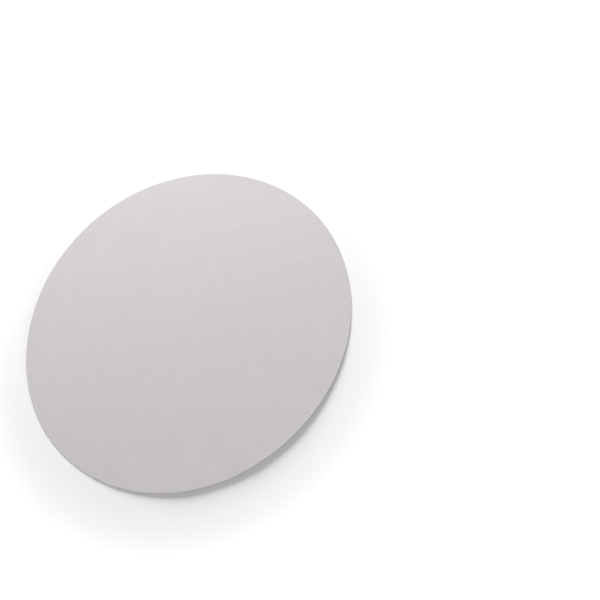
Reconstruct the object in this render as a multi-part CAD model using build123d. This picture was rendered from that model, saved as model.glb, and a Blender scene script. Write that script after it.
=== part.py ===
from build123d import *
import math
import os

# A filter paper disc: one round sheet of soft, unglazed cellulose, stamped from the web with a
# cutting die. It lies as a loose sheet does, flat along its middle and curling up a little at both
# sides, because the fibres of its two faces dried unevenly.
# Millimetres, +Z up. The origin is the middle of the disc, on the surface that it lies on. The
# curl bends the sheet about lines along Y, so the sides at -X and +X are the ones that rise.

# The sheet as it was cut, laid flat
diameter = 64.0
thickness = 0.13

# The curl
flat_width = 13.0  # of the middle band, which lies on the surface
left_curl_radius = 620.0  # of the bend at -X, measured to the underside
right_curl_radius = 400.0  # of the bend at +X, the stronger one

# The stamped edge: the cutting rule came down and pressed the top edge round
edge_round = 0.04

# How far the web and the die run past the finished disc, so that every cut is clean
overrun = 0.5


def curled_length():
    """The length of sheet between the flat band and the rim."""
    return diameter / 2 - flat_width / 2


def curl_reach(radius):
    """How far from the middle the rim ends up, seen from above: a curled sheet draws its rim in."""
    return flat_width / 2 + radius * math.sin(curled_length() / radius)


def curl_lift(radius):
    """How high the underside of the rim stands above the surface."""
    return radius * (1 - math.cos(curled_length() / radius))


def curl_section(radius):
    """The section of one curled side, from the edge of the flat band outwards along +X.

    The underside and the top face bend about one centre, so the sheet keeps its thickness.
    """
    start = flat_width / 2
    turn = math.degrees((curled_length() + overrun) / radius)
    with BuildSketch(Plane.XZ) as section:
        with BuildLine():
            underside = CenterArc((start, radius), radius, -90, turn)
            top = CenterArc((start, radius), radius - thickness, -90, turn)
            Line(underside @ 0, top @ 0)
            Line(underside @ 1, top @ 1)
        make_face()
    return section.sketch


def band_section():
    """The section of the flat middle band, resting on the surface."""
    with BuildSketch(Plane.XZ) as section:
        with Locations((0, thickness / 2)):
            Rectangle(flat_width, thickness)
    return section.sketch


def curled_web():
    """The sheet before it is cut: its section carried along Y, past both ends of the disc."""
    right = curl_section(right_curl_radius)
    left = mirror(curl_section(left_curl_radius), about=Plane.YZ)
    section = left + band_section() + right
    return extrude(section, amount=diameter / 2 + overrun, both=True)


def cutting_die():
    """The round die, as wide along X as the curl leaves the disc and a full diameter along Y."""
    left = curl_reach(left_curl_radius)
    right = curl_reach(right_curl_radius)
    top = thickness + max(curl_lift(left_curl_radius), curl_lift(right_curl_radius))
    with BuildSketch(Plane.XY.offset(-overrun)) as outline:
        with Locations(((right - left) / 2, 0)):
            Ellipse((left + right) / 2, diameter / 2)
    return extrude(outline.sketch, amount=top + 2 * overrun)


def top_rim(sheet):
    """The edges along which the top face meets the wall that the die cut."""
    faces_up = sheet.faces().filter_by(lambda face: face.normal_at().Z > 0.5)
    wall = sheet.faces().filter_by(lambda face: abs(face.normal_at().Z) < 0.5)
    return faces_up.edges() & wall.edges()


def paper_disc():
    """The cut and curled sheet, as one solid."""
    sheet = curled_web() & cutting_die()
    return fillet(top_rim(sheet), edge_round)


os.makedirs("parts", exist_ok=True)
export_step(paper_disc(), "parts/paper_disc.step")
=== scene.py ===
import math

import bpy
import numpy as np
from mathutils import Matrix, Vector


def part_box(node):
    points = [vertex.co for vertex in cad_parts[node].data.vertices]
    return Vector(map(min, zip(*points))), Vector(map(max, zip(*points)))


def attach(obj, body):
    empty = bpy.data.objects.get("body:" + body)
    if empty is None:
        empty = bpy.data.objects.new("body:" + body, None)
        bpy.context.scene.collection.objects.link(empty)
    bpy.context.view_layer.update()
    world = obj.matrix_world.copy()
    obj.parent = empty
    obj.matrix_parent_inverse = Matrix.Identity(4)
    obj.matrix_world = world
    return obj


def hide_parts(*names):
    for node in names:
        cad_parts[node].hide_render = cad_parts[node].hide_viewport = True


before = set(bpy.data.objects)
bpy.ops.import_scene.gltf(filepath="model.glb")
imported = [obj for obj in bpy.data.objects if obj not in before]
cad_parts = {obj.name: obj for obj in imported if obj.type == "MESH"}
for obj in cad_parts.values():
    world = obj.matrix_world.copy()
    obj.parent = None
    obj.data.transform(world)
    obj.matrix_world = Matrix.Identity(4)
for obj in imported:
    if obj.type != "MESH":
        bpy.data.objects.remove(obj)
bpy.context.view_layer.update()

# The sheet: one round piece of soft, unglazed filter paper, wood fibres felted together with nothing
# printed or pressed into them. It is stamped from the web in one blow, and then lies loose: flat
# along its middle, with its two sides curled up a little because its faces dried unevenly.
disc_low, disc_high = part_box("paper_disc")
disc_radius = (disc_high.y - disc_low.y) / 2
paper_thickness = 0.00013
flat_width = 0.013  # of the middle band, which lies on the floor
left_curl_radius = 0.620  # of the bend at -X, measured to the underside
right_curl_radius = 0.400  # of the bend at +X, the stronger one
cockle_share = 0.06  # of the curl's lift, by which the dried sheet strays from it
cockle_length = 0.017
cloud_depth = 0.012  # of the thickness, by which it varies from one cloud of fibres to the next
cloud_length = 0.0042
flock_depth = 0.008  # the same, for the smaller flocks within the clouds
flock_length = 0.0019
edge_round = 0.00004  # pressed into the top edge by the cutting rule
edge_rings = 5  # of points down the round
edge_margin = 0.00006  # of flat face kept beside the round
ragged_depth = 0.000012  # by which the cut fibres end short of the rim
ragged_waves = 40
ragged_counts = (30, 380)  # of waves in one turn of the rim, the fewest and the most
sheet_cells = 206  # along each side of the grid
crease = math.radians(40)  # past which the shading breaks at an edge


def round_grid(cells):
    """A square grid drawn to a disc of radius 1, as x and y.

    Each square ring of the grid becomes a round one: the larger of |u| and |v| is its radius, and
    the smaller over the larger, times 45 degrees, is the angle from the nearest axis.
    """
    u, v = np.meshgrid(np.linspace(-1, 1, cells + 1), np.linspace(-1, 1, cells + 1))
    beside = np.abs(u) >= np.abs(v)
    larger = np.where(beside, u, v)
    smaller = np.where(beside, v, u)
    angle = np.pi / 4 * smaller / np.where(larger == 0, 1, larger)
    x = larger * np.where(beside, np.cos(angle), np.sin(angle))
    y = larger * np.where(beside, np.sin(angle), np.cos(angle))
    return x.ravel(), y.ravel()


def grid_border(cells):
    """The grid's outermost points in order, anticlockwise from above."""
    index = np.arange((cells + 1) ** 2).reshape(cells + 1, cells + 1)
    return np.concatenate([index[0, :-1], index[:-1, -1], index[-1, :0:-1], index[:0:-1, 0]])


def grid_faces(cells):
    """The grid's quads, anticlockwise from above.

    A quad is split between its first and third corners, so in two of the four quarters the corners
    start one further round. Every split then points outwards, and none lies along the rim.
    """
    index = np.arange((cells + 1) ** 2).reshape(cells + 1, cells + 1)
    corners = np.stack([index[:-1, :-1], index[:-1, 1:], index[1:, 1:], index[1:, :-1]], axis=-1)
    row, column = np.indices((cells, cells)) - (cells - 1) / 2
    turned = (row * column < 0)[..., None]
    return np.where(turned, np.roll(corners, -1, axis=-1), corners).reshape(-1, 4)


def swell(x, y, wavelength, seed, waves=36, shortest=0.6, longest=1.6):
    """A smooth uneven surface about zero, which strays from it by about 1.

    It is a sum of sine waves, over the root of half their number. Their headings are spread over
    the half circle, and their phases and their lengths, as shares of the wavelength, are drawn at
    random.
    """
    draw = np.random.default_rng(seed)
    heading = np.pi * (np.arange(waves) + draw.uniform(0, 1, waves)) / waves
    rate = 2 * np.pi / (wavelength * draw.uniform(shortest, longest, waves))
    phase = draw.uniform(0, 2 * np.pi, waves)
    travel = x[:, None] * np.cos(heading) + y[:, None] * np.sin(heading)
    return np.sin(travel * rate + phase).sum(axis=1) / math.sqrt(waves / 2)


def curled(x, y, height):
    """Points of the flat sheet, carried round its curl.

    A point at distance e past the flat band turns by e / R about a line R above the underside, so
    at height h it lands (R - h) sin(e / R) past the band and R - (R - h) cos(e / R) up. A cockle
    that grows with the lift is added.
    """
    bend = np.where(x < 0, left_curl_radius, right_curl_radius)
    past = np.maximum(np.abs(x) - flat_width / 2, 0)
    out = np.minimum(np.abs(x), flat_width / 2) + (bend - height) * np.sin(past / bend)
    lift = bend * (1 - np.cos(past / bend))
    cockle = cockle_share * lift * swell(x, y, cockle_length, seed=11)
    return np.stack([np.sign(x) * out, y, lift + cockle + height * np.cos(past / bend)], axis=1)


def formation(x, y):
    """How thick the sheet is at each point, as a share of its mean: the fibres settled in clouds."""
    clouds = cloud_depth * swell(x, y, cloud_length, seed=23)
    flocks = flock_depth * swell(x, y, flock_length, seed=31)
    return 1 + clouds + flocks


def rim_radius(angle):
    """The rim's own radius: the disc's, less the ragged depth times one more than a sum of waves.

    Each wave goes a whole number of times round the rim, so the rim closes on itself.
    """
    draw = np.random.default_rng(seed=47)
    count = draw.integers(*ragged_counts, ragged_waves)
    phase = draw.uniform(0, 2 * np.pi, ragged_waves)
    ragged = np.sin(angle[:, None] * count + phase).sum(axis=1) / math.sqrt(ragged_waves / 2)
    return disc_radius - ragged_depth * (1 + ragged)


def sheet_mesh():
    """The closed sheet: its top and underside on the same grid, joined by rings down the cut edge.

    Its map is the sheet's own flat pattern, the top and the wall outside it as one round island,
    and the underside turned over as another.
    """
    unit_x, unit_y = round_grid(sheet_cells)
    border = grid_border(sheet_cells)
    reach = rim_radius(np.arctan2(unit_y, unit_x))

    turn = np.linspace(0, np.pi / 2, edge_rings)[:, None]
    ring_reach = reach[border] - edge_round * (1 - np.sin(turn))
    ring_drop = edge_round * (1 - np.cos(turn)) + 0 * ring_reach
    top_reach = reach - edge_round - edge_margin
    x = np.concatenate([unit_x * top_reach, (unit_x[border] * ring_reach).ravel(), unit_x * reach])
    y = np.concatenate([unit_y * top_reach, (unit_y[border] * ring_reach).ravel(), unit_y * reach])
    drop = np.concatenate([0 * reach, ring_drop.ravel(), 0 * reach + paper_thickness])
    thickness_share = formation(x, y)
    points = curled(x, y, (paper_thickness - drop) * thickness_share)

    underside = len(reach) + ring_drop.size
    rings = np.arange(len(reach), underside).reshape(ring_drop.shape)
    down = np.vstack([border, rings, border + underside])
    beside = np.roll(down, -1, axis=1)
    wall = np.stack([down[:-1], down[1:], beside[1:], beside[:-1]], axis=-1).reshape(-1, 4)
    top_faces = grid_faces(sheet_cells)
    outside = np.concatenate([top_faces, wall])
    faces = np.concatenate([outside, top_faces[:, [0, 3, 2, 1]] + underside])

    mesh = bpy.data.meshes.new("paper_sheet")
    mesh.from_pydata(points, [], faces.tolist())
    mesh.shade_smooth()
    mesh.set_sharp_from_angle(angle=crease)
    share = mesh.attributes.new("thickness_share", "FLOAT", "POINT")
    share.data.foreach_set("value", thickness_share)
    fabric_side = mesh.attributes.new("fabric_side", "FLOAT", "POINT")
    fabric_side.data.foreach_set("value", (np.arange(len(points)) >= underside).astype(float))
    on_wall = np.zeros((len(faces), 1))
    on_wall[len(top_faces) : len(outside)] = 1
    # the wall's share, which gets the cut edge's paler colour: cut fibre ends, and a painted highlight
    cut_share = np.minimum(drop / edge_round, 1)[faces] * on_wall
    cut_edge = mesh.attributes.new("cut_edge", "FLOAT", "CORNER")
    cut_edge.data.foreach_set("value", cut_share.ravel())

    island_middle = 0.2933  # along both sides of the map, from its corner
    island_radius = 0.2885
    flat = np.stack([x, y], axis=1) * island_radius / (disc_radius + paper_thickness)
    unwrapped = flat * (1 + drop / np.maximum(np.hypot(x, y), disc_radius / 2))[:, None]
    island = island_middle + unwrapped[outside.ravel()]
    turned_island = 1 - island_middle + (flat * (-1, 1))[faces[len(outside) :].ravel()]
    pattern = mesh.uv_layers.new(name="OFBake")
    pattern.data.foreach_set("uv", np.concatenate([island, turned_island]).ravel())
    return mesh


class Socket:
    """One output of a node, so that shader maths is written as Python expressions."""

    def __init__(self, tree, output=None):
        self.tree = tree
        self.output = output

    def node(self, kind, settings=None, sockets=None, output=0):
        """Add a node of this kind, set its settings, and fill its sockets with values or links."""
        made = self.tree.nodes.new(kind)
        for name, value in (settings or {}).items():
            setattr(made, name, value)
        for name, value in (sockets or {}).items():
            if isinstance(value, Socket):
                self.tree.links.new(value.output, made.inputs[name])
            else:
                made.inputs[name].default_value = value
        return Socket(self.tree, made.outputs[output] if made.outputs else None)

    def math(self, operation, first, second=0.0):
        return self.node("ShaderNodeMath", {"operation": operation}, {0: first, 1: second})

    def __add__(self, other):
        return self.math("ADD", self, other)

    def __radd__(self, other):
        return self.math("ADD", other, self)

    def __sub__(self, other):
        return self.math("SUBTRACT", self, other)

    def __rsub__(self, other):
        return self.math("SUBTRACT", other, self)

    def __mul__(self, other):
        return self.math("MULTIPLY", self, other)

    def __rmul__(self, other):
        return self.math("MULTIPLY", other, self)

    def __abs__(self):
        return self.math("ABSOLUTE", self)


def new_material(name):
    """An empty material, and the socket from which its nodes are added."""
    made = bpy.data.materials.new(name)
    made.use_nodes = True
    made.node_tree.nodes.clear()
    return made, Socket(made.node_tree)


# The paper's look: a felt of fibres, coarse ones that lie together in bundles, and a fine grain.
fibre_length = 0.0016
fibre_width = 0.00011
strand_length = 0.0034  # of the bundles
strand_width = 0.00036
fibre_bends = 1.1  # in a fibre's own length
fibre_sway = 0.4  # of its length, the range over which a bend carries it
fibre_edge = 0.07  # of the noise, on each side of its middle, over which a fibre falls away
layer_step = (0.011, 0.007)  # from one layer of fibres to the next, so that no two are alike
uneven_turn = 0.35  # of the step between headings, added to every second one
grain_length = 0.00011
fabric_pitch = 0.00055  # of the forming fabric that marked the underside
fabric_slant = 0.5
middle = 0.5  # of a noise, and of the way from thin paper to thick
thick_paper = (0.727, 0.692, 0.704, 1)
thin_paper = (0.686, 0.650, 0.662, 1)
# the cut edge: paler where its fibres end, and lighter still by a painted highlight that stands in for
# light coming through the sheet
cut_paper_and_painted_highlight = (0.820, 0.795, 0.800, 1)
cloud_tone = 10.0  # how much the clouds count in the colour, and so on for the next four
felt_tone = 1.5
strand_tone = 0.9
grain_tone = 1.0
twill_tone = 0.12
felt_height = 0.000019  # of the relief that the felt adds, and so on for the next three
strand_height = 0.000012
grain_height = 0.000007
twill_height = 0.000005
paper_roughness = 0.98
fibre_smoothness = 0.1  # by which a fibre is smoother than the gaps
cellulose_index = 1.47


def felted_fibres(place, length, width, headings):
    """Fibres that lie every way in the sheet, from 0 between them to about 1 where they cross.

    Each layer is a noise stretched along one heading. A fibre runs where the noise passes its
    middle value, and a second noise bends its course.
    """
    drift = place.node(
        "ShaderNodeTexNoise",
        sockets={"Vector": place, "Scale": fibre_bends / length, "Detail": 1.0},
        output="Color",
    )
    drift = place.node(
        "ShaderNodeVectorMath", {"operation": "SUBTRACT"}, {0: drift, 1: (middle, middle, middle)}
    )
    drift = place.node(
        "ShaderNodeVectorMath", {"operation": "SCALE"}, {0: drift, "Scale": fibre_sway * length}
    )
    bent = place.node("ShaderNodeVectorMath", {"operation": "ADD"}, {0: place, 1: drift})
    felt = None
    for layer in range(headings):
        heading = math.pi * (layer + uneven_turn * (layer % 2)) / headings
        along = place.node(
            "ShaderNodeMapping",
            {"vector_type": "TEXTURE"},
            {
                "Vector": bent,
                "Location": (layer_step[0] * layer, layer_step[1] * layer, 0.0),
                "Rotation": (0.0, 0.0, heading),
                "Scale": (length, width, length),
            },
        )
        level = place.node("ShaderNodeTexNoise", sockets={"Vector": along, "Scale": 1.0, "Detail": 1.0})
        away = abs(level - middle)
        fibre = place.node(
            "ShaderNodeMapRange",
            {"interpolation_type": "SMOOTHSTEP"},
            {"Value": away, "From Min": 0.0, "From Max": fibre_edge, "To Min": 1.0, "To Max": 0.0},
        )
        felt = fibre if felt is None else felt + fibre
    return felt * (1 / headings)


def blended(start, share, low, high):
    """The colour that share of the way from low to high."""
    return start.node("ShaderNodeMix", {"data_type": "RGBA"}, {0: share, 6: low, 7: high}, output=2)


def filter_paper():
    """Soft white cellulose: cloudy where fibres gathered, with a felt of them over both faces.

    The top is the felt side. The underside keeps a faint twill from the fabric it was formed on.
    """
    material, start = new_material("filter_paper")
    place = start.node("ShaderNodeTexCoord", output="Object")
    share = start.node("ShaderNodeAttribute", {"attribute_name": "thickness_share"}, output="Fac")
    fabric_side = start.node("ShaderNodeAttribute", {"attribute_name": "fabric_side"}, output="Fac")
    cut_edge = start.node("ShaderNodeAttribute", {"attribute_name": "cut_edge"}, output="Fac")
    felt = felted_fibres(place, fibre_length, fibre_width, headings=7)
    strands = felted_fibres(place, strand_length, strand_width, headings=5)
    grain = start.node(
        "ShaderNodeTexNoise",
        sockets={"Vector": place, "Scale": 1 / grain_length, "Detail": 2.0, "Roughness": 0.6},
    )
    across = start.node("ShaderNodeSeparateXYZ", sockets={0: place}, output="X")
    along = start.node("ShaderNodeSeparateXYZ", sockets={0: place}, output="Y")
    weft = start.math("SINE", (across + along * fabric_slant) * (2 * math.pi / fabric_pitch))
    warp = start.math("SINE", (along - across * fabric_slant) * (2 * math.pi / fabric_pitch))
    twill = weft * warp * fabric_side

    fibrous = (felt - middle) * felt_tone + (strands - middle) * strand_tone
    fibrous = fibrous + (grain - middle) * grain_tone
    density = (share - 1.0) * cloud_tone + fibrous + twill * twill_tone + middle
    face = blended(start, density, thin_paper, thick_paper)
    relief = felt * felt_height + strands * strand_height
    relief = relief + grain * grain_height + twill * twill_height
    bump = start.node("ShaderNodeBump", sockets={"Height": relief, "Distance": 1.0, "Strength": 1.0})
    # the wall of the cut edge takes the paler colour: cut fibre ends, and a painted highlight
    shader = start.node(
        "ShaderNodeBsdfPrincipled",
        sockets={
            "Base Color": blended(start, cut_edge, face, cut_paper_and_painted_highlight),
            "Roughness": paper_roughness - felt * fibre_smoothness,
            "Normal": bump,
            "IOR": cellulose_index,
            "Specular IOR Level": 0.4,
        },
    )
    start.node("ShaderNodeOutputMaterial", sockets={"Surface": shader})
    return material


sheet = bpy.data.objects.new("paper_sheet", sheet_mesh())
bpy.context.scene.collection.objects.link(sheet)
sheet.data.materials.append(filter_paper())
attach(sheet, "root")
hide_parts("paper_disc")

# The floor: a plain white sheet of studio paper with no seam in sight. Its own light to the camera
# keeps it white, and the light that falls on it leaves the disc's shadow. Near the disc it glows
# less, which paints a soft grey halo of shade around it.
floor_half = 3.0
floor_white = (0.92, 0.92, 0.92, 1)
# painted shade: the floor glows only this much near the disc, and so greys in a halo round it
painted_halo_glow = 0.11
glow_start = 0.031  # from the disc's middle, up to which the floor glows least
glow_end = 0.070  # from which on it is plain white


def rectangle(name, half, level):
    """A flat square, 2 half wide, at that level."""
    mesh = bpy.data.meshes.new(name)
    corners = [(-half, -half, level), (half, -half, level), (half, half, level), (-half, half, level)]
    mesh.from_pydata(corners, [], [(0, 1, 2, 3)])
    piece = bpy.data.objects.new(name, mesh)
    bpy.context.scene.collection.objects.link(piece)
    return piece


def seen_directly(start):
    """1 for what the camera sees, straight or in gloss or glass, and 0 for light on the object."""
    straight = start.node("ShaderNodeLightPath", output="Is Camera Ray")
    in_gloss = start.node("ShaderNodeLightPath", output="Is Glossy Ray")
    through_glass = start.node("ShaderNodeLightPath", output="Is Transmission Ray")
    return straight + in_gloss + through_glass


def studio_white():
    """White that glows for the camera: a little under the disc, and fully further off; between, the dimmer
    glow paints a halo of shade.
    """
    material, start = new_material("studio_white")
    place = start.node("ShaderNodeTexCoord", output="Object")
    away = start.node("ShaderNodeVectorMath", {"operation": "LENGTH"}, {0: place}, output="Value")
    glow = start.node(
        "ShaderNodeMapRange",
        {"interpolation_type": "SMOOTHSTEP"},
        {"Value": away, "From Min": glow_start, "From Max": glow_end, "To Min": painted_halo_glow, "To Max": 1.0},
    )
    lit = start.node("ShaderNodeBsdfDiffuse", sockets={"Color": floor_white})
    own = start.node("ShaderNodeEmission", sockets={"Strength": glow * seen_directly(start)})
    both = start.node("ShaderNodeAddShader", sockets={0: lit, 1: own})
    start.node("ShaderNodeOutputMaterial", sockets={"Surface": both})
    return material


floor = rectangle("studio_floor", floor_half, 0.0)
floor.data.materials.append(studio_white())

# The light: a softbox beyond the disc, at the top of the picture, a low strip of light in front that
# picks out the cut edge, and a white room that fills the shadows. The softbox stands close, so its
# light falls off across the paper.
room_light = 0.22
room_white = 1.04  # for the camera, a little over white, so that no edge of the picture greys


def softbox(name, light, heading, height, distance, size):
    """A lamp of that width and depth, which faces the disc.

    A lamp of power P at distance d gives what faces it P / (pi d)² of full light, and a level sheet
    the sine of the lamp's height times that.
    """
    turn = math.radians(heading)
    tilt = math.radians(height)
    towards = Vector((math.cos(tilt) * math.cos(turn), math.cos(tilt) * math.sin(turn), math.sin(tilt)))
    lamp = bpy.data.lights.new(name, "AREA")
    lamp.shape = "RECTANGLE"
    lamp.size, lamp.size_y = size
    lamp.energy = light * (math.pi * distance) ** 2 / math.sin(tilt)
    stand = bpy.data.objects.new(name, lamp)
    stand.location = towards * distance
    stand.rotation_euler = towards.to_track_quat("Z", "Y").to_euler()
    bpy.context.scene.collection.objects.link(stand)


softbox("key_softbox", light=0.68, heading=156, height=28, distance=0.285, size=(0.18, 0.18))
softbox("front_strip", light=0.09, heading=5, height=8, distance=0.35, size=(0.30, 0.07))

room = bpy.data.worlds.new("white_room")
room.use_nodes = True
room.node_tree.nodes.clear()
walls = Socket(room.node_tree)
white_walls = walls.node(
    "ShaderNodeBackground",
    sockets={
        "Color": (1, 1, 1, 1),
        "Strength": seen_directly(walls) * (room_white - room_light) + room_light,
    },
)
walls.node("ShaderNodeOutputWorld", sockets={"Surface": white_walls})
bpy.context.scene.world = room

# The camera: it stands on the +X side, where the disc curls more, and looks down on the paper at
# the angle at which the photograph shows its face, turned and set off centre as it is there.
lens_length = 80.0
sensor_width = 36.0
camera_height = math.radians(59.33)
camera_roll = math.radians(-35.05)
camera_distance = 0.2457
disc_right = -0.02140  # of the picture's middle
disc_up = -0.00482

towards_disc = Vector((-math.cos(camera_height), 0.0, -math.sin(camera_height)))
level_turn = towards_disc.to_track_quat("-Z", "Y").to_matrix()
camera_turn = level_turn @ Matrix.Rotation(camera_roll, 3, "Z")
camera_data = bpy.data.cameras.new("camera")
camera_data.lens = lens_length
camera_data.sensor_width = sensor_width
camera_data.clip_start = 0.01
camera = bpy.data.objects.new("camera", camera_data)
camera.location = -(camera_turn @ Vector((disc_right, disc_up, -camera_distance)))
camera.rotation_euler = camera_turn.to_euler()
bpy.context.scene.collection.objects.link(camera)
bpy.context.scene.camera = camera

bpy.context.scene.view_settings.view_transform = "Standard"
